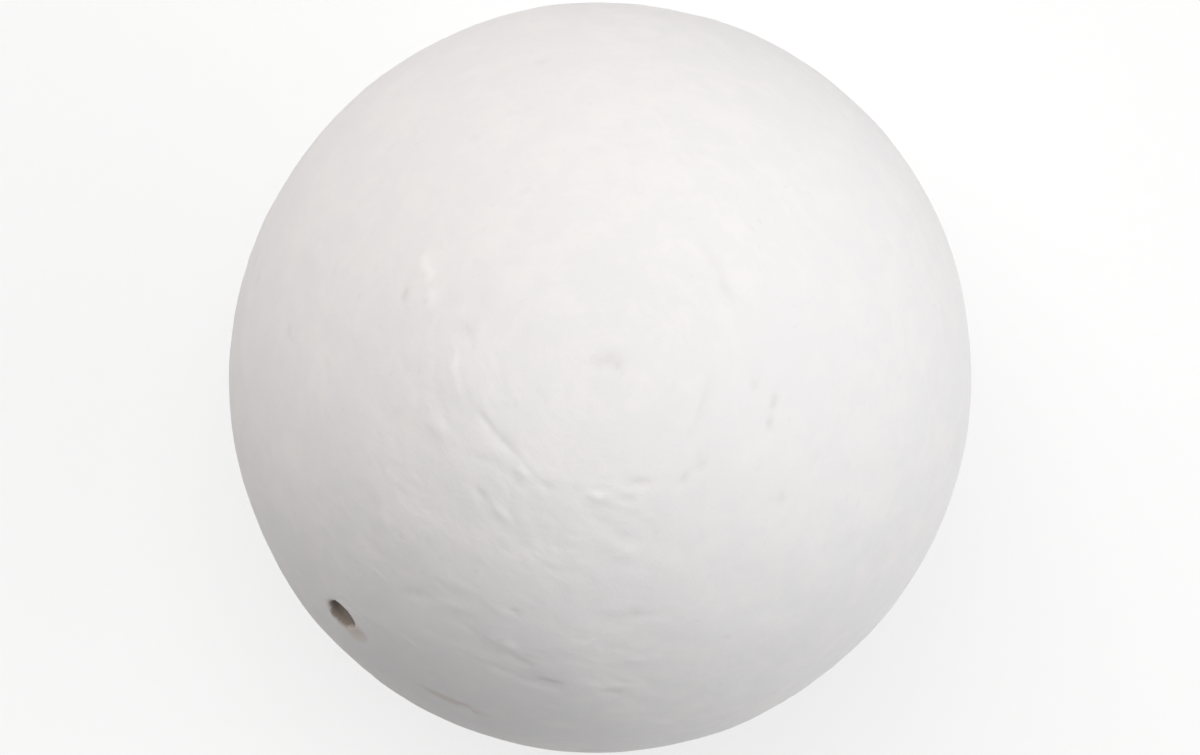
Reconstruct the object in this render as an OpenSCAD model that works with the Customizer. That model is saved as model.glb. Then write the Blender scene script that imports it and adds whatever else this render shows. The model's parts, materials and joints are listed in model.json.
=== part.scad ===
// Pressed cotton ball: one solid ball of cotton sheet, wound about an axis and pressed hard in
// a round mould, with a blind hole pierced in its side for a thin stick.
// The winding axis is Z, the origin is the ball's centre, and the hole opens towards +X.
// All sizes are in millimetres and all angles in degrees.

/* [Ball] */
// Width of the ball where it is widest
ball_d = 50; // [30:1:60]
// How far each side is pressed in where the ball is narrowest round its middle
side_flat = 0.3; // [0.1:0.05:0.6]
// Direction of the widest width, turned from the hole's side
wide_turn = 28; // [0:1:60]

/* [Pressed caps] */
// How far each end of the winding axis is pressed in
cap_flat = 0.3; // [0.1:0.05:0.5]
// Angle from the cap's middle out to its rim
cap_angle = 19.3; // [16:0.1:26]
// Lean of each cap's middle away from the winding axis
cap_lean = 0.8; // [0:0.1:4]

/* [Sheet creases] */
// Width of the crease round a cap's rim, where it is deepest
rim_crease_w = 0.6; // [0.3:0.05:1]
// Depth of the crease round a cap's rim, where it is deepest
rim_crease_depth = 0.16; // [0.08:0.01:0.25]
// Depth of the crease round a cap's rim, where it is shallowest
rim_crease_faint = 0.03; // [0.01:0.01:0.06]
// Width of a sheet edge's crease outside the caps, where it is deepest
edge_crease_w = 0.5; // [0.3:0.05:1]
// Depth of a sheet edge's crease outside the caps, where it is deepest
edge_crease_depth = 0.12; // [0.06:0.01:0.16]

/* [Winding dimples] */
// Width of the dimple that the winding leaves at each end of its axis
dimple_w = 2; // [1:0.1:4]
// Depth of that dimple
dimple_depth = 0.2; // [0.1:0.05:0.5]

/* [Stick hole] */
// Width of the hole
hole_d = 2; // [1:0.1:5]
// Depth of the hole, from the ball's skin to the tip
hole_depth = 15; // [8:0.5:22]
// Length of the pointed end that the piercing tool leaves
hole_tip = 1.4; // [0.5:0.1:3]
// Angle of the hole from the winding axis
hole_angle = 68; // [50:1:110]
// Radius of the rounded edge at the mouth
mouth_round = 0.4; // [0.2:0.05:0.8]
// Width of the raised lip round the mouth, from its crest outwards
lip_w = 0.9; // [0.5:0.1:1.5]
// Height of the raised lip above the ball's skin
lip_rise = 0.1; // [0.05:0.01:0.2]
// Width of the dent that leads into the mouth from one side
dent_w = 2.2; // [1.5:0.1:3.5]
// Depth of that dent, from the crest of the lip
dent_depth = 0.25; // [0.15:0.05:0.5]

/* [Hidden] */
$fa = 3;
$fs = 0.4;

ball_r = ball_d / 2;
hole_r = hole_d / 2;

// Angle out to the rim of the broad flat on each narrow side
side_angle = 65;

// Directions in which the two caps lean away from the winding axis
TOP_LEAN_DIR = -50;
BOTTOM_LEAN_DIR = 120;

// Directions in which the creases round the two caps' rims are deepest
TOP_DEEP_DIR = 6;
BOTTOM_DEEP_DIR = 90;

// Sheet edges outside each cap, each given at its deepest place: [angle beyond the cap's rim,
// direction round the cap, slant towards the cap, half the length of the crease]
TOP_EDGES = [
    [7.4, -25, 32, 3.6],
    [7.5, 10, -10, 3.2],
    [2.4, 86, 12, 3.2],
    [2.1, 174, -10, 3.2],
    [7.4, 117, 15, 3.2],
    [26.4, -7, -35, 3.2],
    [22.8, 25, 22, 3.2],
    [31.5, 29, -16, 3.2],
    [51.2, 23, 28, 3.4]
];
BOTTOM_EDGES = [
    [5, 140, 4, 9],
    [12, -30, 8, 5],
    [17, 60, 25, 4],
    [27, -110, 15, 3.6],
    [38, 170, 20, 3.4]
];

// Radius of the round tool that leaves a hollow this wide and this deep
function tool_radius(width, depth) = (pow(width / 2, 2) + pow(depth, 2)) / (2 * depth);

// The larger sphere that presses the top of the ball in by flat, out to rim_angle
module pressed_by(flat, rim_angle) {
    rim_r = ball_r * sin(rim_angle);
    rise = ball_r - flat - ball_r * cos(rim_angle);
    press_r = tool_radius(2 * rim_r, rise);
    translate([0, 0, ball_r - flat - press_r])
        sphere(r = press_r);
}

// Leans what is drawn about Z away from it, towards a direction
module leaned(lean, direction) {
    rotate([0, 0, direction])
        rotate([0, lean, 0])
            rotate([0, 0, -direction])
                children();
}

// How far the centre of a crease's round tool lies from the ball's centre at its deepest place
function crease_reach(width, depth) = ball_r + tool_radius(width, depth) - depth;

// Radius of the ring whose crease fades from depth to faint on the far side of a cap's rim
function rim_ring_r(rim_r, reach) =
    (rim_r + sqrt(pow(rim_r, 2) + 2 * (rim_crease_depth - rim_crease_faint) * reach)) / 2;

// Radius of the ring whose crease runs out to nothing at half_length either way
function edge_ring_r(latitude_r, reach, half_length) =
    latitude_r / (1 - 2 * edge_crease_depth * reach / pow(half_length, 2));

// A ring of round section, laid on the ball so that it bites deepest at one place and runs
// along the latitude there, turned by slant
module crease(angle, direction, slant, ring_r, reach, width, depth) {
    rotate([0, 0, direction])
        rotate([0, angle, 0])
            rotate([0, 0, slant])
                translate([0, 0, reach])
                    rotate([0, -angle, 0])
                        translate([-ring_r, 0, 0])
                            rotate_extrude()
                                translate([ring_r, 0])
                                    circle(r = tool_radius(width, depth), $fn = 24);
}

// The crease all round a cap's rim
module rim_crease(deep_dir) {
    reach = crease_reach(rim_crease_w, rim_crease_depth);
    ring_r = rim_ring_r(reach * sin(cap_angle), reach);
    crease(cap_angle, deep_dir, 0, ring_r, reach, rim_crease_w, rim_crease_depth);
}

// The crease along a loose edge of the sheet
module edge_crease(angle, direction, slant, half_length) {
    reach = crease_reach(edge_crease_w, edge_crease_depth);
    ring_r = edge_ring_r(reach * sin(angle), reach, half_length);
    crease(angle, direction, slant, ring_r, reach, edge_crease_w, edge_crease_depth);
}

// All the creases and the dimple at one end of the winding axis
module end_marks(lean_dir, deep_dir, edges) {
    leaned(cap_lean, lean_dir) {
        rim_crease(deep_dir);
        for (edge = edges)
            edge_crease(cap_angle + edge[0], edge[1], edge[2], edge[3]);
    }
    winding_dimple();
}

// The dished dimple at the end of the winding axis
module winding_dimple() {
    tool_r = tool_radius(dimple_w, dimple_depth);
    translate([0, 0, ball_r - cap_flat + tool_r - dimple_depth])
        sphere(r = tool_r);
}

// The round ball, pressed in at its two caps and on its two narrow sides
module pressed_ball() {
    intersection() {
        sphere(r = ball_r);
        leaned(cap_lean, TOP_LEAN_DIR)
            pressed_by(cap_flat, cap_angle);
        mirror([0, 0, 1])
            leaned(cap_lean, BOTTOM_LEAN_DIR)
                pressed_by(cap_flat, cap_angle);
        leaned(90, wide_turn + 90)
            pressed_by(side_flat, side_angle);
        leaned(90, wide_turn - 90)
            pressed_by(side_flat, side_angle);
    }
}

// The low lip pushed up round the mouth of the hole, drawn along Z: its crest is a broad arc
// that runs down into the ball's skin
module hole_lip() {
    crest_r = tool_radius(2 * lip_w, lip_rise);
    edge_z = ball_r + lip_rise;
    mouth_r = hole_r + mouth_round;
    rotate_extrude()
        union() {
            translate([0, edge_z - crest_r])
                square([mouth_r, crest_r]);
            intersection() {
                translate([mouth_r, edge_z - crest_r])
                    circle(r = crest_r, $fn = 96);
                translate([mouth_r, edge_z - crest_r])
                    square(crest_r);
            }
        }
}

// The pierced hole with its pointed end and rounded mouth, drawn along Z
module hole_tool() {
    tip_z = ball_r - hole_depth;
    edge_z = ball_r + lip_rise;
    mouth_r = hole_r + mouth_round;
    rotate_extrude()
        union() {
            polygon([[0, tip_z], [hole_r, tip_z + hole_tip], [hole_r, edge_z], [0, edge_z]]);
            difference() {
                translate([0, edge_z - mouth_round])
                    square([mouth_r, 2 * mouth_round]);
                translate([mouth_r, edge_z - mouth_round])
                    circle(r = mouth_round, $fn = 48);
            }
        }
}

// The shallow dent that leads into the mouth from one side, drawn along Z
module mouth_dent() {
    tool_r = tool_radius(dent_w, dent_depth);
    translate([0, hole_r + mouth_round + dent_w / 4, ball_r + lip_rise + tool_r - dent_depth])
        sphere(r = tool_r);
}

module ball() {
    color([0.93, 0.92, 0.91])
        difference() {
            union() {
                pressed_ball();
                rotate([0, hole_angle, 0])
                    hole_lip();
            }
            end_marks(TOP_LEAN_DIR, TOP_DEEP_DIR, TOP_EDGES);
            mirror([0, 0, 1])
                end_marks(BOTTOM_LEAN_DIR, BOTTOM_DEEP_DIR, BOTTOM_EDGES);
            rotate([0, hole_angle, 0]) {
                hole_tool();
                mouth_dent();
            }
        }
}

ball();
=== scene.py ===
import json
import math

import bpy
import numpy as np
from mathutils import Matrix, Vector
from mathutils.geometry import delaunay_2d_cdt


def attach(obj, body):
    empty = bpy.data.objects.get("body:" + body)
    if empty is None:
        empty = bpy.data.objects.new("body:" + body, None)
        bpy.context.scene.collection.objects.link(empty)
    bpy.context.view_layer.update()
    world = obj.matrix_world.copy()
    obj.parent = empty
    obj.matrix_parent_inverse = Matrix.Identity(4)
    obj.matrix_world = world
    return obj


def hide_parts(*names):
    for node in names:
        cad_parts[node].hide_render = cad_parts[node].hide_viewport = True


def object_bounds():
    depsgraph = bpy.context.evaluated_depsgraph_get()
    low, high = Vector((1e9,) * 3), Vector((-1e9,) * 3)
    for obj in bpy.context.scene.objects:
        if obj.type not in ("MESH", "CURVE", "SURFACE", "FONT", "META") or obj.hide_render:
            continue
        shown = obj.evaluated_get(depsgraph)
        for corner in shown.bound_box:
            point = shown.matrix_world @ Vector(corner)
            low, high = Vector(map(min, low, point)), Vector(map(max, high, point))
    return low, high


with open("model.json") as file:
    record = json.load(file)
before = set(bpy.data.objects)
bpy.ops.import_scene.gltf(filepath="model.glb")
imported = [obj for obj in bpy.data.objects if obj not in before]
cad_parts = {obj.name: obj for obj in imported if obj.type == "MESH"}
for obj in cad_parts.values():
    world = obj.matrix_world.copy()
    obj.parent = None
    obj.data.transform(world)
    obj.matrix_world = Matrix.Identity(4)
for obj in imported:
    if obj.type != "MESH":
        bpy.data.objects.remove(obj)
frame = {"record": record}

CAD_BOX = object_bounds()
MM = 0.001
WINDING_AXIS = np.array([0.0, 0.0, 1.0])
TO_BOTTOM = np.array([1.0, 1.0, -1.0])

# ---------------------------------------------------------------- camera
# The camera looks down on one end of the winding axis, so up in its view is a direction round
# that axis, from +X towards +Y.

CAMERA_DISTANCE = 399.3 * MM
CAMERA_LENS = 180
CAMERA_TILT = math.radians(2.46)
CAMERA_TILT_DIR = math.radians(26.5)
VIEW_UP_DIR = math.radians(-133)
VIEW_RIGHT_DIR = VIEW_UP_DIR - math.pi / 2

# ---------------------------------------------------------------- the pressed form, as in the CAD model

BALL_R = 25 * MM
SIDE_FLAT = 0.3 * MM
SIDE_ANGLE = math.radians(65)
WIDE_DIR = math.radians(28)
CAP_FLAT = 0.3 * MM
CAP_ANGLE = math.radians(19.3)
CAP_LEAN = math.radians(0.8)
TOP_LEAN_DIR = math.radians(-50)
BOTTOM_LEAN_DIR = math.radians(120)
TOP_DEEP_DIR = math.radians(6)
BOTTOM_DEEP_DIR = math.radians(90)

STICK_HOLE = frame["record"]["mounts"][0]
HOLE_AXIS = np.array(STICK_HOLE["axis"]) / np.linalg.norm(STICK_HOLE["axis"])
HOLE_R = STICK_HOLE["dims"]["r_mm"] * MM
HOLE_DEPTH = 15 * MM
HOLE_TIP = 1.4 * MM
MOUTH_ROUND = 0.4 * MM
MOUTH_R = HOLE_R + MOUTH_ROUND
LIP_RISE = 0.05 * MM
LIP_W = 0.9 * MM

# ---------------------------------------------------------------- creases in the cotton sheet
# Each crease follows a ring round the cap's middle, and this is its deepest place: degrees
# beyond the cap's rim, direction round the cap, slant towards the cap, then half its length,
# its width and its depth in mm. A crease of negative depth is a raised fold.

TOP_CREASES = [
    (-0.6, -13, 12, 2.4, 0.38, 0.060),
    (-0.8, 0, 4, 1.9, 0.38, 0.110),
    (0.5, 23, -9, 0.6, 0.36, 0.080),
    (0.5, 46, -4, 1.0, 0.45, -0.100),
    (1.2, 58, 10, 0.8, 0.40, 0.050),
    (0.6, 12, 0, 0.5, 0.40, -0.130),
    (-0.7, 66, -30, 1.0, 0.40, 0.060),
    (1.9, -41, 4, 2.6, 0.50, -0.060),
    (2.2, 81, 32, 0.9, 0.38, 0.120),
    (1.0, 92, 19, 1.1, 0.38, 0.080),
    (-3.1, 111, 7, 2.8, 0.42, 0.070),
    (2.1, 174, -10, 3.0, 0.65, 0.080),
    (7.8, -66, 36, 7.4, 1.20, -0.050),
    (6.4, -22, 20, 2.6, 0.70, -0.050),
    (7.2, 5, -8, 0.7, 0.42, 0.060),
    (7.6, 14, -18, 1.0, 0.45, -0.110),
    (9.8, -70, 45, 2.6, 0.75, -0.045),
    (3.1, -68, 42, 1.8, 0.80, -0.045),
    (26.4, -7, -35, 2.8, 0.80, 0.045),
    (28.7, 8, 50, 2.3, 0.55, 0.045),
    (22.9, 25, 3, 1.1, 0.42, -0.100),
    (31.5, 29, -16, 2.2, 0.80, 0.055),
    (35.8, 35, 9, 1.8, 0.45, 0.060),
    (51.2, 23, 28, 2.4, 0.70, 0.060),
    (23.4, -7, -22, 3.2, 0.90, -0.050),
    (29.0, 30, 4, 2.4, 0.70, -0.070),
    (36.8, 37, 0, 1.7, 0.60, 0.060),
]
BOTTOM_CREASES = [
    (5.0, 140, 4, 8.0, 0.50, 0.080),
    (12.0, -30, 8, 5.0, 0.80, 0.060),
    (17.0, 60, 25, 4.0, 0.85, 0.065),
    (27.0, -110, 15, 3.6, 0.70, 0.060),
    (38.0, 170, 20, 3.4, 0.60, 0.065),
    (3.0, -60, -12, 2.6, 0.60, 0.050),
    (8.0, 20, 30, 3.0, 0.80, -0.055),
]
RIM_W = 0.55 * MM
RIM_DEPTH = 0.018 * MM
RIM_FAINT = 0.006 * MM

# ---------------------------------------------------------------- small pits and flecks in the skin
# Degrees from the winding axis, direction round it, then length along the latitude, width and
# depth in mm

TOP_PITS = [
    (1.8, 125, 0.14, 0.14, 0.07),
    (1.5, 6, 0.16, 0.10, 0.03),
    (1.3, -174, 0.12, 0.12, 0.03),
    (26.0, 124, 0.35, 0.22, 0.09),
    (26.3, 117, 0.40, 0.22, 0.10),
    (22.3, 129, 0.30, 0.25, 0.05),
    (34.3, 100, 0.40, 0.30, 0.04),
    (32.5, -62, 0.40, 0.22, 0.09),
    (21.0, -56, 0.45, 0.50, 0.04),
    (18.3, 61, 0.40, 0.22, 0.04),
    (41.9, 27, 0.30, 0.22, 0.09),
    (39.5, 54, 0.50, 0.35, 0.05),
    (54.8, 37, 0.70, 0.25, 0.08),
    (56.2, 48, 0.80, 0.25, 0.05),
]
BOTTOM_PITS = [
    (24.0, -20, 0.40, 0.25, 0.08),
    (33.0, 65, 0.35, 0.22, 0.09),
    (47.0, -95, 0.50, 0.30, 0.06),
    (61.0, 150, 0.45, 0.25, 0.08),
]


def unit(azimuth, polar):
    """The unit vector at a polar angle from +Z, turned by azimuth from +X."""
    side = math.sin(polar)
    return np.array([side * math.cos(azimuth), side * math.sin(azimuth), math.cos(polar)])


def normalised(v):
    return v / np.linalg.norm(v)


def ball_place(polar, azimuth):
    """A place on the ball's skin, with its directions along and across the latitude."""
    place = unit(math.radians(azimuth), math.radians(polar))
    along = normalised(np.cross(WINDING_AXIS, place))
    return place, along, np.cross(place, along)


def make_camera():
    data = bpy.data.cameras.new("camera")
    data.lens = CAMERA_LENS
    camera = bpy.data.objects.new("camera", data)
    bpy.context.scene.collection.objects.link(camera)
    back = Vector(unit(CAMERA_TILT_DIR, CAMERA_TILT))
    right = Vector(unit(VIEW_UP_DIR, math.pi / 2)).cross(back).normalized()
    turn = Matrix((right, back.cross(right), back)).transposed().to_4x4()
    camera.matrix_world = Matrix.Translation(back * CAMERA_DISTANCE) @ turn
    bpy.context.scene.camera = camera


# ---------------------------------------------------------------- relief of the cotton skin

SEEDED = np.random.default_rng(7)
GRADIENTS = SEEDED.normal(size=(256, 3))
GRADIENTS /= np.linalg.norm(GRADIENTS, axis=1, keepdims=True)


def noise(p, seed):
    """Smooth noise of about -1 to 1 at each row of p, with features one unit across."""
    cell = np.floor(p).astype(np.int64)
    f = p - cell
    blend = f**3 * (f * (f * 6 - 15) + 10)
    total = np.zeros(len(p))
    for corner in np.ndindex(2, 2, 2):
        x, y, z = (cell + corner).T
        key = (x * 73856093) ^ (y * 19349663) ^ (z * 83492791) ^ (seed * 2654435761)
        key = ((key ^ (key >> 13)) * 1274126177) & 0x7FFFFFFF
        gradient = GRADIENTS[(key ^ (key >> 15)) & 255]
        share = np.prod(np.where(corner, blend, 1 - blend), axis=1)
        total += share * ((f - corner) * gradient).sum(axis=1)
    return 1.6 * total


def smooth_step(low, high, x):
    t = np.clip((x - low) / (high - low), 0, 1)
    return t * t * (3 - 2 * t)


def soft_min(a, b, softness):
    """The lower of a and b, with the corner where they meet rounded off."""
    h = np.clip(0.5 + 0.5 * (b - a) / softness, 0, 1)
    return b * (1 - h) + a * h - softness * h * (1 - h)


def pressed_in(u, axis, flat, rim_angle):
    """Distance out to the larger sphere that presses the ball in by flat along axis."""
    rim_r = BALL_R * math.sin(rim_angle)
    rise = BALL_R - flat - BALL_R * math.cos(rim_angle)
    press_r = (rim_r**2 + rise**2) / (2 * rise)
    back = press_r - BALL_R + flat
    along = u @ axis
    return np.sqrt(press_r**2 - back**2 * (1 - along**2)) - back * along


def pressed_radius(u):
    """Distance from the centre to the pressed form along each unit vector of u."""
    r = np.full(len(u), BALL_R)
    narrow = WIDE_DIR + math.pi / 2
    for axis in (unit(narrow, math.pi / 2), unit(narrow, -math.pi / 2)):
        r = soft_min(r, pressed_in(u, axis, SIDE_FLAT, SIDE_ANGLE), 0.06 * MM)
    for axis in (unit(TOP_LEAN_DIR, CAP_LEAN), unit(BOTTOM_LEAN_DIR, CAP_LEAN) * TO_BOTTOM):
        r = soft_min(r, pressed_in(u, axis, CAP_FLAT, CAP_ANGLE), 0.04 * MM)
    return r


def crease_place(u, middle, angle, direction, slant):
    """How far each unit vector of u lies along and across a crease at an angle from middle."""
    level = unit(direction, math.pi / 2)
    side = normalised(level - middle * (level @ middle))
    deepest = middle * math.cos(angle) + side * math.sin(angle)
    centre = np.array(Matrix.Rotation(slant, 3, Vector(deepest)) @ Vector(middle))
    side = normalised(deepest - centre * (deepest @ centre))
    ahead = np.cross(centre, side)
    across = BALL_R * (np.arccos(np.clip(u @ centre, -1, 1)) - angle)
    along = BALL_R * math.sin(angle) * np.arctan2(u @ ahead, u @ side)
    return along, across


def crease_section(across, width):
    """The edge of a pressed-down ply, one deep: a steep wall towards the cap's middle, then a
    gentle rise away from it to a low fold."""
    spread = np.where(across < 0, 0.42 * width, 0.95 * width)
    fold = np.exp(-(((across - 1.9 * width) / (0.8 * width)) ** 2))
    return 0.15 * fold - np.exp(-((across / spread) ** 2))


# Fine creases: how many at each end, then the ranges that each is drawn from, with angles in
# degrees and the rest in mm
FINE_CREASES = 220
FINE_ANGLES = (6, 88)
FINE_SLANT = 9
FINE_SLANT_SPREAD = 20
FINE_HALF_LENGTHS = (0.6, 2.2)
FINE_DEPTHS = (-0.035, 0.025)
FINE_WIDTHS = (0.35, 0.8)
CREASE_REACH = 4 * MM


def end_relief(u, lean_dir, deep_dir, creases, seed):
    """Height of the creases in the half of the ball towards +Z, with the cap's rim, then the
    creases given one by one, then the fine ones."""
    middle = unit(lean_dir, CAP_LEAN)
    p = u * BALL_R
    wander = 0.22 * MM * noise(p / (2.2 * MM), seed) + 0.15 * MM * noise(p / (0.7 * MM), seed + 2)
    broken = np.clip(0.65 + 1.7 * noise(p / (0.9 * MM), seed + 1), 0, 1.5)
    along, across = crease_place(u, middle, CAP_ANGLE, deep_dir, 0)
    turn = along / (BALL_R * math.sin(CAP_ANGLE))
    rim_depth = RIM_FAINT + (RIM_DEPTH - RIM_FAINT) * (0.5 + 0.5 * np.cos(turn)) ** 2
    height = rim_depth * broken * crease_section(across + wander, RIM_W)
    for beyond, direction, slant, half_length, width, depth in creases:
        angle = CAP_ANGLE + math.radians(beyond)
        along, across = crease_place(u, middle, angle, math.radians(direction), math.radians(slant))
        reach = np.clip(1 - (along / (half_length * MM)) ** 2, 0, 1) ** 1.5
        near = (reach > 0) & (np.abs(across) < CREASE_REACH)
        section = crease_section(across[near] + 0.7 * wander[near], width * MM)
        height[near] += depth * MM * reach[near] * (0.4 + 0.6 * broken[near]) * section
    rng = np.random.default_rng(seed)
    least, most = (math.cos(math.radians(angle)) for angle in reversed(FINE_ANGLES))
    for _ in range(FINE_CREASES):
        angle = math.acos(rng.uniform(least, most))
        direction = rng.uniform(-math.pi, math.pi)
        slant = math.radians(rng.normal(FINE_SLANT, FINE_SLANT_SPREAD))
        half_length = rng.uniform(*FINE_HALF_LENGTHS) * MM
        depth = rng.uniform(*FINE_DEPTHS) * MM
        width = rng.uniform(*FINE_WIDTHS) * MM
        along, across = crease_place(u, middle, angle, direction, slant)
        near = (np.abs(along) < half_length) & (np.abs(across) < CREASE_REACH)
        reach = broken[near] * (1 - (along[near] / half_length) ** 2) ** 1.5
        height[near] += depth * reach * crease_section(across[near] + wander[near], width)
    return height


# Small pits and nubs: how many at each end, then the ranges of their polar angles in degrees,
# and of their lengths and depths in mm
SMALL_PITS = 70
SMALL_PIT_POLARS = (8, 90)
SMALL_PIT_LENGTHS = (0.25, 0.5)
SMALL_PIT_W = 0.25
SMALL_PIT_DEPTHS = (-0.03, 0.05)
PIT_REACH = math.radians(6)


def small_pit(rng):
    polar = rng.uniform(*SMALL_PIT_POLARS)
    azimuth = rng.uniform(-180, 180)
    length = rng.uniform(*SMALL_PIT_LENGTHS)
    return polar, azimuth, length, SMALL_PIT_W, rng.uniform(*SMALL_PIT_DEPTHS)


def pit_relief(u, pits, seed):
    """Height of the pits given one by one and of the small random pits and nubs."""
    p = u * BALL_R
    ragged = 1 + 0.5 * noise(p / (0.35 * MM), seed)
    height = np.zeros(len(u))
    rng = np.random.default_rng(seed)
    small = [small_pit(rng) for _ in range(SMALL_PITS)]
    for polar, azimuth, length, width, depth in pits + small:
        place, along, across = ball_place(polar, azimuth)
        near = (u @ place) > math.cos(PIT_REACH)
        reach = np.hypot(p[near] @ along / (length * MM), p[near] @ across / (width * MM))
        height[near] -= depth * MM * np.exp(-((reach * ragged[near]) ** 2))
    return height


DIMPLE_LENGTH = 1.15 * MM
DIMPLE_W = 0.62 * MM
DIMPLE_DEPTH = 0.05 * MM


def dimple_relief(u):
    """The dimple that the winding leaves at the end of its axis: a pinch, wider at one end."""
    long_way = unit(VIEW_RIGHT_DIR, math.pi / 2)
    p = u * BALL_R
    x = p @ long_way
    y = p @ np.cross(WINDING_AXIS, long_way)
    width = DIMPLE_W * (0.8 + 0.35 * np.clip(x / DIMPLE_LENGTH, -1, 1))
    pinch = np.exp(-((x / DIMPLE_LENGTH) ** 2) ** 1.5 - (y / width) ** 2)
    return np.where(u[:, 2] > 0, -DIMPLE_DEPTH * pinch, 0.0)


# Depth of a crease or pit that takes the full dust and painted shade
HOLLOW_DEPTH = 0.12 * MM
# Height above which a raised fold takes a painted highlight
HIGHLIGHT_ABOVE = 0.04 * MM


def creases_relief(u):
    """Height of the creases at both ends."""
    height = end_relief(u, TOP_LEAN_DIR, TOP_DEEP_DIR, TOP_CREASES, 20)
    return height + end_relief(u * TO_BOTTOM, BOTTOM_LEAN_DIR, BOTTOM_DEEP_DIR, BOTTOM_CREASES, 40)


def pits_relief(u):
    """Height of the pits and the winding dimples at both ends."""
    height = pit_relief(u, TOP_PITS, 51) + pit_relief(u * TO_BOTTOM, BOTTOM_PITS, 52)
    return height + dimple_relief(u) + dimple_relief(u * TO_BOTTOM)


SKIN_HEADROOM = 0.07 * MM


def skin_relief(u):
    """Height of the cotton skin over the pressed form. The mould holds the skin down, so this
    stays below zero."""
    p = u * BALL_R
    polar = np.arccos(np.clip(u[:, 2], -1, 1))
    sway = 2.6 * MM * noise(p / (5 * MM), 3) + 0.9 * MM * noise(p / (1.8 * MM), 4)
    wound = np.column_stack([BALL_R * polar + sway, p[:, 0], p[:, 1]])
    beyond_cap = smooth_step(0.6 * CAP_ANGLE, 1.3 * CAP_ANGLE, np.minimum(polar, math.pi - polar))
    loose = 0.4 + 0.6 * beyond_cap
    patch = loose * (0.5 + 0.9 * smooth_step(-0.4, 0.5, noise(p / (3.5 * MM), 13)))
    crinkle = np.abs(noise(wound / (np.array([1.5, 2.3, 2.3]) * MM), 18))
    # Broad swells of the pressed body
    height = 0.080 * MM * noise(p / (9 * MM), 11) + 0.050 * MM * noise(p / (5 * MM), 10)
    # Long folds of the wound sheet
    height += 0.026 * MM * loose * noise(wound / (np.array([2.2, 3.8, 3.8]) * MM), 12)
    height += 0.044 * MM * loose * np.abs(noise(wound / (np.array([2.6, 3.6, 3.6]) * MM), 9))
    # Short wrinkles in patches, the grain, and thin crinkles
    height += 0.020 * MM * patch * np.abs(noise(wound / (np.array([1.2, 1.7, 1.7]) * MM), 14))
    wrinkle = 0.015 * MM * patch * np.abs(noise(p / (1.1 * MM), 16))
    height += wrinkle + 0.005 * MM * noise(p / (0.6 * MM), 17)
    height -= 0.016 * MM * patch * smooth_step(0.14, 0.0, crinkle) + 0.015 * MM
    height += creases_relief(u) + pits_relief(u)
    return soft_min(height - SKIN_HEADROOM, np.zeros(len(u)), 0.06 * MM)


HOLE_SIDE = normalised(np.cross(WINDING_AXIS, HOLE_AXIS))
HOLE_UP = np.cross(HOLE_SIDE, -HOLE_AXIS)
DENT_PLACE = 1.6 * MM
DENT_DROP = 0.4 * MM
DENT_HALF = 0.8 * MM
DENT_DEPTH = 0.16 * MM


def mouth_relief(u):
    """Height of the puckered lip round the hole's mouth and of the dent beside it."""
    p = u * BALL_R
    x = p @ HOLE_UP
    y = p @ HOLE_SIDE
    away = np.hypot(x, y)
    turn = np.arctan2(y, x)
    pucker = noise(np.column_stack([2.2 * np.cos(turn), 2.2 * np.sin(turn), away / MM]), 31)
    lip = np.exp(-(((away - MOUTH_R) / LIP_W) ** 2)) * (1 + 0.35 * np.cos(turn) + 0.5 * pucker)
    dent = np.exp(-(((x + DENT_DROP) / DENT_HALF) ** 2) - ((y - DENT_PLACE) / DENT_HALF) ** 2)
    return np.where(u @ HOLE_AXIS > 0, LIP_RISE * lip - DENT_DEPTH * dent, 0.0)


def skin_tone(points):
    """1 where a point lies in a crease or pit, for its dust and painted shade, and -1 where it is on a
    raised fold, for a painted highlight.
    """
    u = points / np.linalg.norm(points, axis=1, keepdims=True)
    creases = creases_relief(u)
    # Dust and painted shade in the creases and pits, deeper ones darker
    dust_and_shade = np.clip((-pits_relief(u) - 0.35 * creases) / HOLLOW_DEPTH, 0, 1)
    # Painted highlight on the raised folds
    painted_highlight = np.clip((creases - HIGHLIGHT_ABOVE) / (1.5 * HIGHLIGHT_ABOVE), 0, 1)
    return dust_and_shade - painted_highlight


def skin(u):
    """Points of the ball's skin in the directions u."""
    return u * (pressed_radius(u) + skin_relief(u) + mouth_relief(u))[:, None]


# ---------------------------------------------------------------- the ball's mesh

# Steps between points on the skin, then the patch of rings round the hole's mouth, which fills
# the wider opening that is cut from the rows
ROW_STEP_ENDS = 0.20 * MM
ROW_STEP_MIDDLE = 0.24 * MM
ALONG_STEP = 0.41 * MM
PATCH_R = 3.6 * MM
CUT_R = 4.1 * MM
PATCH_POINTS = 72
PATCH_SHRINK = 0.94
MOUTH_RINGS = 8
WALL_RINGS = 44
TIP_RINGS = (0.35, 0.7)
INSIDE_BORDERS = 1
WELD_DISTANCE = 1e-7


def row_angles():
    """Polar angles of the rows of points, closer together over the two ends."""
    t = np.linspace(0, math.pi, 4001)
    middle = smooth_step(math.radians(30), math.radians(10), np.abs(t - math.pi / 2))
    step = ROW_STEP_ENDS + (ROW_STEP_MIDDLE - ROW_STEP_ENDS) * middle
    count = np.concatenate([[0], np.cumsum(np.diff(t) * BALL_R / step[1:])])
    rows = round(count[-1])
    return np.interp(np.linspace(0, count[-1], rows + 1), count, t)


def stitched(a, b):
    """Triangles between two rings of point numbers that run the same way round."""
    turn = np.concatenate([np.arange(1, len(a) + 1) / len(a), np.arange(1, len(b) + 1) / len(b)])
    on_a = np.argsort(turn, kind="stable") < len(a)
    i = np.concatenate([[0], np.cumsum(on_a)[:-1]])
    j = np.concatenate([[0], np.cumsum(~on_a)[:-1]])
    third = np.where(on_a, a[(i + 1) % len(a)], b[(j + 1) % len(b)])
    return np.column_stack([a[i % len(a)], b[j % len(b)], third])


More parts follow.
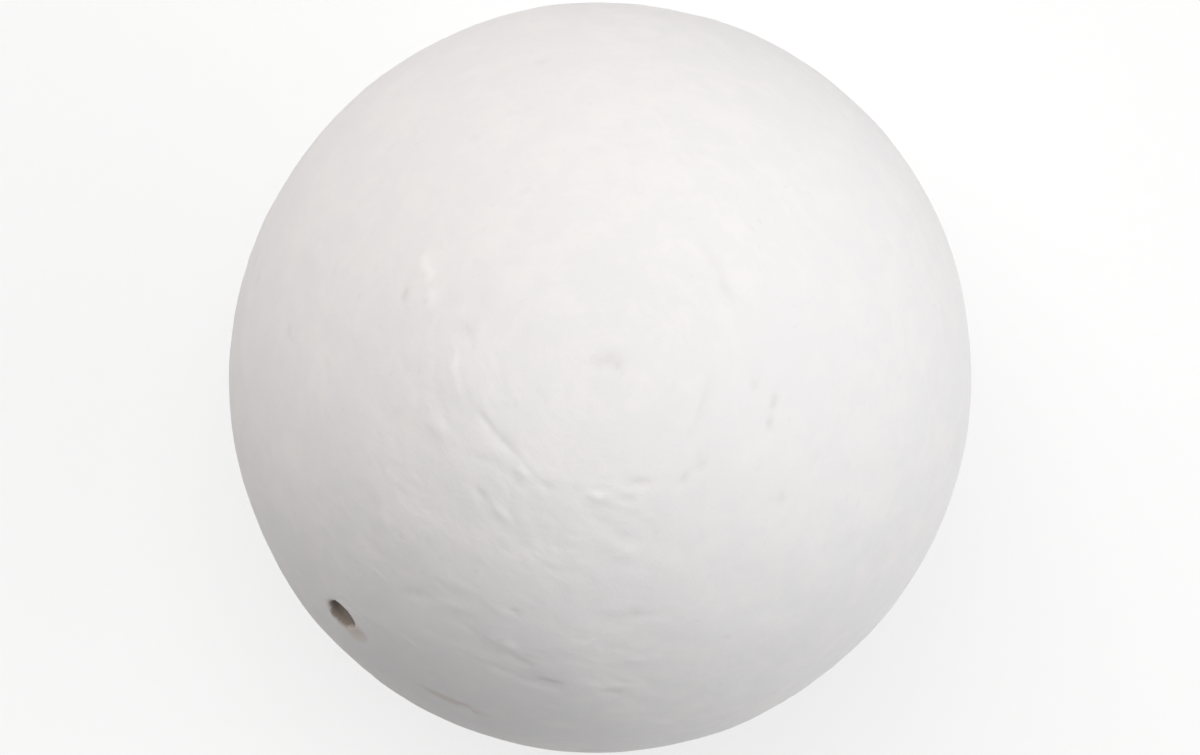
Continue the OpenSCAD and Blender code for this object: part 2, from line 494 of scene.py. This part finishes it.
def rows_of_directions():
    """Unit vectors in rows round the winding axis, and the triangles that join them."""
    directions = []
    faces = []
    before = None
    first = 0
    for polar in row_angles():
        around = 2 * math.pi * BALL_R * math.sin(polar)
        points = 1 if around < ALONG_STEP else max(6, round(around / ALONG_STEP))
        azimuths = np.arange(points) * 2 * math.pi / points
        directions.append(np.array([unit(azimuth, polar) for azimuth in azimuths]))
        ring = first + np.arange(points)
        if before is not None:
            faces.append(stitched(before, ring))
        before = ring
        first += points
    faces = np.concatenate(faces)
    a, b, c = faces.T
    return np.concatenate(directions), faces[(a != b) & (b != c) & (c != a)]


def edges_of_one_face(faces):
    """The edges that only one triangle has, as pairs of point numbers."""
    edges = np.concatenate([faces[:, [0, 1]], faces[:, [1, 2]], faces[:, [2, 0]]])
    kept, counts = np.unique(np.sort(edges, axis=1), axis=0, return_counts=True)
    return kept[counts == 1]


def hole_rings():
    """Rings of points from the ball's skin over the lip and down the stick hole."""
    turn = np.arange(PATCH_POINTS) * 2 * math.pi / PATCH_POINTS
    spoke = np.outer(np.cos(turn), HOLE_UP) + np.outer(np.sin(turn), HOLE_SIDE)
    radii = [PATCH_R]
    while radii[-1] * PATCH_SHRINK > MOUTH_R:
        radii.append(radii[-1] * PATCH_SHRINK)
    rings = []
    for away in radii + [MOUTH_R]:
        level = math.sqrt(BALL_R**2 - away**2)
        rings.append(skin((HOLE_AXIS * level + spoke * away) / BALL_R))
    edge = rings[-1] @ HOLE_AXIS
    for bend in np.linspace(0, math.pi / 2, MOUTH_RINGS + 1)[1:]:
        out = MOUTH_R - MOUTH_ROUND * math.sin(bend)
        level = edge - MOUTH_ROUND * (1 - math.cos(bend))
        rings.append(HOLE_AXIS * level[:, None] + spoke * out)
    wall_top = edge - MOUTH_ROUND
    wall_end = BALL_R - HOLE_DEPTH + HOLE_TIP
    for share in np.linspace(0, 1, WALL_RINGS + 1)[1:]:
        level = wall_top + (wall_end - wall_top) * share**1.6
        grain = np.column_stack([3 * np.cos(turn), 3 * np.sin(turn), level / (0.5 * MM)])
        wall_r = HOLE_R * (1 + 0.03 * noise(grain, 33))
        rings.append(HOLE_AXIS * level[:, None] + spoke * wall_r[:, None])
    for share in TIP_RINGS:
        rings.append(HOLE_AXIS * (wall_end - HOLE_TIP * share) + spoke * HOLE_R * (1 - share))
    return rings


def joined(skin_points, skin_faces, rings):
    """The skin with the hole let into it, as an array of points and one of triangles."""
    away = np.linalg.norm(skin_points - np.outer(skin_points @ HOLE_AXIS, HOLE_AXIS), axis=1)
    cut = (away < CUT_R) & (skin_points @ HOLE_AXIS > 0)
    faces = skin_faces[~cut[skin_faces].any(axis=1)]
    tip = HOLE_AXIS * (BALL_R - HOLE_DEPTH)
    points = np.concatenate([skin_points, *rings, tip[None]])
    first = len(skin_points)
    ring = first + np.arange(PATCH_POINTS)
    cut_edges = edges_of_one_face(faces)
    border = np.unique(cut_edges)
    numbers = np.concatenate([border, ring])
    place = {number: i for i, number in enumerate(numbers.tolist())}
    flat = np.column_stack([points[numbers] @ HOLE_UP, points[numbers] @ HOLE_SIDE]) / MM
    edges = [(place[a], place[b]) for a, b in cut_edges.tolist()]
    edges += [(place[a], place[b]) for a, b in zip(ring.tolist(), np.roll(ring, -1).tolist())]
    places = [Vector(xy) for xy in flat]
    filled = delaunay_2d_cdt(places, edges, [], INSIDE_BORDERS, WELD_DISTANCE)
    band = np.array([[numbers[filled[3][corner][0]] for corner in face] for face in filled[2]])
    parts = [faces, band[(band < first).any(axis=1)]]
    for _ in rings[1:]:
        parts.append(stitched(ring, ring + PATCH_POINTS))
        ring = ring + PATCH_POINTS
    parts.append(np.column_stack([ring, np.roll(ring, -1), np.full(PATCH_POINTS, len(points) - 1)]))
    faces = np.concatenate(parts)
    used = np.unique(faces)
    renumbered = np.zeros(len(points), int)
    renumbered[used] = np.arange(len(used))
    return points[used], renumbered[faces]


def make_ball():
    directions, skin_faces = rows_of_directions()
    points, faces = joined(skin(directions), skin_faces, hole_rings())
    mesh = bpy.data.meshes.new("pressed_ball")
    mesh.from_pydata(points.tolist(), [], faces.tolist())
    piece = bpy.data.objects.new("pressed_ball", mesh)
    bpy.context.scene.collection.objects.link(piece)
    bpy.context.view_layer.objects.active = piece
    bpy.ops.object.mode_set(mode="EDIT")
    bpy.ops.mesh.select_all(action="SELECT")
    bpy.ops.mesh.normals_make_consistent(inside=False)
    bpy.ops.object.mode_set(mode="OBJECT")
    mesh.shade_smooth()
    tone = mesh.attributes.new("tone", "FLOAT", "POINT")
    tone.data.foreach_set("value", skin_tone(points))
    mesh.materials.append(pressed_cotton())
    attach(piece, "root")
    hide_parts("ball")


# ---------------------------------------------------------------- materials


class Wire:
    """A node's output, which takes part in Python expressions as a number or vector does. One
    without a socket starts a tree's first nodes."""

    def __init__(self, tree, socket=None):
        self.tree = tree
        self.socket = socket

    def node(self, kind, settings, inputs, output=0):
        """The output of a new node, given its settings and then its input values or wires."""
        made = self.tree.nodes.new(kind)
        for name, value in settings.items():
            setattr(made, name, value)
        for name, value in inputs.items():
            if isinstance(value, Wire):
                self.tree.links.new(value.socket, made.inputs[name])
            else:
                made.inputs[name].default_value = value
        return Wire(self.tree, made.outputs[output])

    def feed(self, shader, name):
        """Joins this wire to the named socket of a shader."""
        self.tree.links.new(self.socket, shader.inputs[name])

    def maths(self, operation, *values):
        return self.node("ShaderNodeMath", {"operation": operation}, dict(enumerate(values)))

    def __add__(self, other):
        return self.maths("ADD", self, other)

    def __radd__(self, other):
        return self.maths("ADD", other, self)

    def __sub__(self, other):
        return self.maths("SUBTRACT", self, other)

    def __rsub__(self, other):
        return self.maths("SUBTRACT", other, self)

    def __mul__(self, other):
        return self.maths("MULTIPLY", self, other)

    def __rmul__(self, other):
        return self.maths("MULTIPLY", other, self)

    def __truediv__(self, other):
        return self.maths("DIVIDE", self, other)

    def __rtruediv__(self, other):
        return self.maths("DIVIDE", other, self)

    def __pow__(self, other):
        return self.maths("POWER", self, other)

    def highest(self, other):
        return self.maths("MAXIMUM", self, other)

    def dot(self, direction):
        inputs = {0: self, 1: tuple(direction)}
        return self.node("ShaderNodeVectorMath", {"operation": "DOT_PRODUCT"}, inputs, "Value")

    def length(self):
        return self.node("ShaderNodeVectorMath", {"operation": "LENGTH"}, {0: self}, "Value")

    def scaled(self, scale):
        inputs = {0: self, "Scale": scale}
        return self.node("ShaderNodeVectorMath", {"operation": "SCALE"}, inputs)

    def stretched(self, factors):
        return self.node("ShaderNodeVectorMath", {"operation": "MULTIPLY"}, {0: self, 1: factors})

    def between(self, low, high):
        """From 0 at low to 1 at high, with soft ends. Low may be the greater of the two."""
        inputs = {"Value": self, "From Min": low, "From Max": high}
        return self.node("ShaderNodeMapRange", {"interpolation_type": "SMOOTHSTEP"}, inputs)


CREAM_WHITE = (0.886, 0.869, 0.863, 1)
GREY_WHITE = (0.862, 0.850, 0.852, 1)
# Grey of dust, and of the painted shade in creases and pits
DUST_AND_SHADE_GREY = (0.50, 0.46, 0.44, 1)
# White of the painted highlights on raised folds
HIGHLIGHT_WHITE = (0.965, 0.955, 0.95, 1)
# Brown of the painted shade inside the stick hole, with some dirt, then paler deeper in
HOLE_SHADE_BROWN = (0.30, 0.255, 0.225, 1)
HOLE_SHADE_PALE = (0.80, 0.72, 0.65, 1)
# Brown of the smudges, and of the painted shade in the dent beside the hole
SMUDGE_AND_SHADE_BROWN = (0.66, 0.58, 0.52, 1)
PEACH = (0.82, 0.71, 0.67, 1)
FIBRE_RELIEF = 0.009 * MM
SMUDGE_PLACE = ball_place(70.6, 23)
SMUDGE_HALF = (2.6, 0.5)
# Distances from the ball's centre in mm, over which a colour comes in
NEAR_SKIN = (20, 22)
HOLE_SHADE = (24.7, 23.4)
HOLE_END = (4, 6)


def noise_in_shader(vector, detail, roughness=0.5, distortion=0.0):
    """Noise of about 0 to 1, with features about one unit across."""
    inputs = {"Vector": vector, "Scale": 1.0, "Detail": detail, "Roughness": roughness}
    inputs["Distortion"] = distortion
    return vector.node("ShaderNodeTexNoise", {}, inputs)


def tinted(colour, amount, tint):
    """Colour, with this amount of tint mixed in."""
    return amount.node("ShaderNodeMix", {"data_type": "RGBA"}, {0: amount, 6: colour, 7: tint}, 2)


def wound_places(here):
    """Places in mm measured down from the winding axis's end with the sheet's sway, then across."""
    cosine = here.dot(WINDING_AXIS) / here.length()
    sway = 3.5 * noise_in_shader(here.scaled(0.25), 2) + 0.8 * noise_in_shader(here.scaled(0.8), 2)
    down = cosine.maths("ARCCOSINE", cosine) * (BALL_R / MM) + sway
    across = {1: here.dot((1, 0, 0)), 2: here.dot((0, 1, 0))}
    return down.node("ShaderNodeCombineXYZ", {}, {0: down, **across})


def skin_colour(here, wound, patches, fuzz):
    """Cream and grey cotton, with dust and painted shade in its hollows and painted highlights on its
    raised folds.
    """
    mottle = noise_in_shader(here.scaled(0.22), 3)
    blotches = noise_in_shader(here.scaled(0.55), 4, 0.6, 0.4)
    grey = (0.4 * patches + 0.25 * mottle + 0.35 * blotches).between(0.38, 0.62)
    colour = tinted(CREAM_WHITE, grey * (0.9 + 1.2 * fuzz), GREY_WHITE)
    tone = fuzz.node("ShaderNodeAttribute", {"attribute_name": "tone"}, {}, "Fac")
    # Dust and painted shade in the creases and pits
    colour = tinted(colour, tone.highest(0) * (0.15 + 0.4 * fuzz), DUST_AND_SHADE_GREY)
    # Painted highlights on the raised folds
    colour = tinted(colour, (0 - tone).highest(0) * (0.5 + 0.5 * fuzz), HIGHLIGHT_WHITE)
    marks = noise_in_shader(wound.stretched((2.6, 1.1, 1.1)), 2, 0.5, 0.6).between(0.66, 0.76)
    return tinted(colour, marks * patches * 0.14, DUST_AND_SHADE_GREY)


def smudged(colour, here, patches):
    """Colour, with the long brown smudge beside the stick hole, a little lower on the ball."""
    place, along, across = SMUDGE_PLACE
    x = here.dot(along) / SMUDGE_HALF[0]
    y = here.dot(across) / SMUDGE_HALF[1]
    smudge = (x * x + y * y).between(1.6, 0.0) * here.dot(place).between(*NEAR_SKIN)
    return tinted(colour, smudge * patches.between(0.4, 0.6) * 0.5, SMUDGE_AND_SHADE_BROWN)


def stained_at_hole(colour, here, fuzz):
    """Colour, with a peach stain and a brown ring round the stick hole's mouth, painted shade in the
    dent beside it, and painted shade with some brown dirt inside the hole.
    """
    up = here.dot(HOLE_UP)
    side = here.dot(HOLE_SIDE)
    deep = here.dot(HOLE_AXIS)
    near_mouth = deep.between(*NEAR_SKIN)
    away = (up * up + side * side) ** 0.5
    fringe = away.between(2.0, 1.1) * side.between(-0.2, 1.0) * up.between(0.4, -0.6) * near_mouth
    colour = tinted(colour, fringe * 0.6, PEACH)
    # A brown ring, darker towards the mouth's edge
    colour = tinted(colour, away.between(1.7, 1.0) * near_mouth * 0.3, SMUDGE_AND_SHADE_BROWN)
    beside = (side - DENT_PLACE / MM) / 0.8
    under = (up + 0.4) / 1.1
    # Painted shade in the dent beside the mouth, in brown
    dent_shade = (beside * beside + under * under).between(1.7, 0.0) * near_mouth
    colour = tinted(colour, dent_shade * (0.35 + 0.4 * fuzz), SMUDGE_AND_SHADE_BROWN)
    ragged = 0.5 * (noise_in_shader(here.scaled(1.6), 3) - 0.5)
    below = up + 0.18
    reach = (below * below + side * side) ** 0.5 + ragged
    # Painted shade inside the hole and over the mouth's edge on the side away from the winding axis's
    # end, brown with some dirt near the mouth and paler deeper in
    hole_shade_colour = tinted(HOLE_SHADE_BROWN, deep.between(*HOLE_SHADE), HOLE_SHADE_PALE)
    return tinted(colour, reach.between(1.3, 0.95) * deep.between(*HOLE_END), hole_shade_colour)


def fibre_bump(wound, patches, fuzz):
    """Fine fibres along the latitudes, with fuzz and thin crinkles."""
    strands = noise_in_shader(wound.stretched((3.4, 1.2, 1.2)), 4, 0.6, 0.6)
    threads = noise_in_shader(wound.stretched((9, 1.8, 1.8)), 2, 0.5, 0.8)
    veins = noise_in_shader(wound.stretched((1.1, 0.7, 0.7)), 3, 0.6, 0.5)
    crinkles = (2 * veins - 1).maths("ABSOLUTE", 2 * veins - 1).between(0.16, 0.0)
    height = strands + 0.35 * threads + 0.9 * fuzz - 0.35 * crinkles * patches
    return height.node("ShaderNodeBump", {}, {"Height": height, "Distance": FIBRE_RELIEF})


def pressed_cotton():
    """Matte cotton, wound round the axis and pressed."""
    material = bpy.data.materials.new("pressed_cotton")
    material.use_nodes = True
    tree = material.node_tree
    shader = tree.nodes["Principled BSDF"]
    here = Wire(tree).node("ShaderNodeTexCoord", {}, {}, "Object").scaled(1 / MM)
    wound = wound_places(here)
    fuzz = noise_in_shader(here.scaled(4), 4, 0.6)
    patches = noise_in_shader(wound.stretched((0.55, 0.28, 0.28)), 4, 0.6, 0.5)
    colour = skin_colour(here, wound, patches, fuzz)
    colour = smudged(colour, here, patches)
    colour = stained_at_hole(colour, here, fuzz)
    colour.feed(shader, "Base Color")
    fibre_bump(wound, patches, fuzz).feed(shader, "Normal")
    shader.inputs["Roughness"].default_value = 0.95
    shader.inputs["Specular IOR Level"].default_value = 0.15
    return material


# ---------------------------------------------------------------- floor, backdrop and light

WHITE = (1, 1, 1, 1)
BLACK = (0, 0, 0, 1)
# The floor as light meets it, then as the camera sees it: the glow goes to white away from
# the ball and leaves its shadow near it
FLOOR_COLOUR = (0.9, 0.9, 0.9, 1)
FLOOR_COLOUR_SEEN = (0.32, 0.32, 0.32, 1)
FLOOR_HALF = 3.0
FLOOR_GLOW = 0.67
FLOOR_FADE_FROM = 0.15
FLOOR_FADE_TO = 0.7
WORLD_GREY = (0.144, 0.144, 0.144, 1)
LAMP_DISTANCE = 0.6
LAMP_SIZE = 0.5
# Each lamp: direction in the camera's view from its right, height above the floor in degrees,
# watts, and its slight warm or cool tint
LAMPS = [
    ("key_softbox", 20, 45, 0.78, (1, 1, 1)),
    ("low_softbox", -20, 25, 1.20, (0.99, 1, 1.01)),
    ("side_softbox", 140, 25, 0.70, (1, 0.935, 0.91)),
    ("top_softbox", 110, 70, 2.20, (1, 0.985, 0.975)),
]


def seen_directly(tree):
    """1 for the camera's own rays and for mirror and glass rays, and 0 for light."""
    names = ("Is Camera Ray", "Is Glossy Ray", "Is Transmission Ray")
    camera, glossy, clear = (Wire(tree).node("ShaderNodeLightPath", {}, {}, name) for name in names)
    return camera.highest(glossy).highest(clear)


def make_floor():
    mesh = bpy.data.meshes.new("floor")
    low = CAD_BOX[0].z
    corners = [(-1, -1), (1, -1), (1, 1), (-1, 1)]
    mesh.from_pydata([(x * FLOOR_HALF, y * FLOOR_HALF, low) for x, y in corners], [], [(0, 1, 2, 3)])
    floor = bpy.data.objects.new("floor", mesh)
    bpy.context.scene.collection.objects.link(floor)
    material = bpy.data.materials.new("floor")
    material.use_nodes = True
    tree = material.node_tree
    shader = tree.nodes["Principled BSDF"]
    seen = seen_directly(tree)
    tinted(FLOOR_COLOUR, seen, FLOOR_COLOUR_SEEN).feed(shader, "Base Color")
    shader.inputs["Roughness"].default_value = 1
    shader.inputs["Specular IOR Level"].default_value = 0
    away = Wire(tree).node("ShaderNodeTexCoord", {}, {}, "Object").length()
    glow = FLOOR_GLOW + (1 - FLOOR_GLOW) * away.between(FLOOR_FADE_FROM, FLOOR_FADE_TO)
    tinted(BLACK, seen * glow, WHITE).feed(shader, "Emission Color")
    shader.inputs["Emission Strength"].default_value = 1
    mesh.materials.append(material)


def make_light():
    world = bpy.data.worlds.new("studio")
    bpy.context.scene.world = world
    world.use_nodes = True
    tree = world.node_tree
    tinted(WORLD_GREY, seen_directly(tree), WHITE).feed(tree.nodes["Background"], "Color")
    for name, direction, height, watts, tint in LAMPS:
        azimuth = VIEW_RIGHT_DIR + math.radians(direction)
        towards = Vector(unit(azimuth, math.pi / 2 - math.radians(height)))
        light = bpy.data.lights.new(name, "AREA")
        light.shape = "DISK"
        light.size = LAMP_SIZE
        light.energy = watts
        light.color = tint
        lamp = bpy.data.objects.new(name, light)
        lamp.location = towards * LAMP_DISTANCE
        lamp.rotation_mode = "QUATERNION"
        lamp.rotation_quaternion = towards.to_track_quat("Z", "Y")
        lamp.visible_camera = False
        bpy.context.scene.collection.objects.link(lamp)


make_camera()
make_ball()
make_floor()
make_light()
bpy.context.scene.view_settings.view_transform = "Standard"
